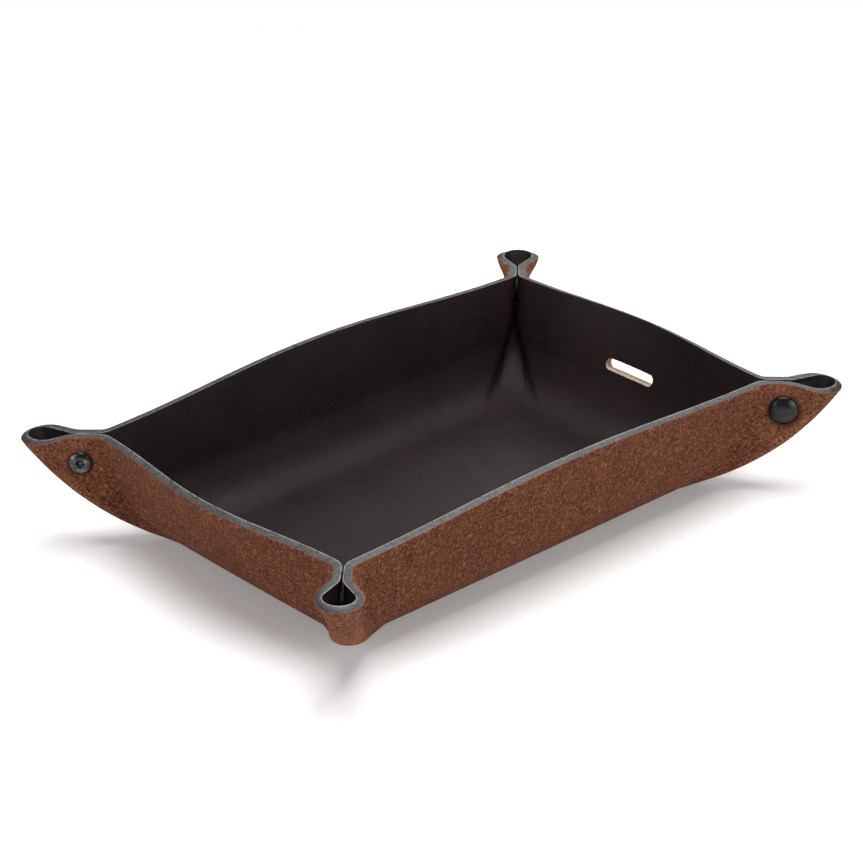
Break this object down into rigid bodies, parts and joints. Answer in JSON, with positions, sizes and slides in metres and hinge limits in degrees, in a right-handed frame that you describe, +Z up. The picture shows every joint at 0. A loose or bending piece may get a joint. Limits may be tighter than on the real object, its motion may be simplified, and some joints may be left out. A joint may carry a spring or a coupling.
{
  "type": "valet tray",
  "caption": "Shallow rectangular valet tray folded from one thick leather sheet, with pinched open-eared corners held by press studs and a cable slot in one short wall.",
  "frame": {"origin": "centre of the floor's underside, on the surface that the tray stands on", "axes": "+X along the long walls, towards the short wall with the cable slot; +Z up"},
  "size_m": [0.2878, 0.2014, 0.0547],
  "materials": {
    "leather": "rough rust-brown flesh side outside, smooth very dark brown grain side inside, burnished charcoal cut edges",
    "gunmetal": "satin black over brass",
    "spring_steel": "bright drawn wire"
  },
  "bodies": {
    "root": {"leather_sheet": "leather", "snap_cap_front_left": "gunmetal", "snap_cap_front_right": "gunmetal", "snap_cap_back_left": "gunmetal", "snap_cap_back_right": "gunmetal", "snap_socket_front_left": "gunmetal", "snap_socket_front_right": "gunmetal", "snap_socket_back_left": "gunmetal", "snap_socket_back_right": "gunmetal", "snap_spring_front_left": "spring_steel", "snap_spring_front_right": "spring_steel", "snap_spring_back_left": "spring_steel", "snap_spring_back_right": "spring_steel", "snap_stud_front_left": "gunmetal", "snap_stud_front_right": "gunmetal", "snap_stud_back_left": "gunmetal", "snap_stud_back_right": "gunmetal", "snap_post_front_left": "gunmetal", "snap_post_front_right": "gunmetal", "snap_post_back_left": "gunmetal", "snap_post_back_right": "gunmetal"}
  },
  "joints": []
}
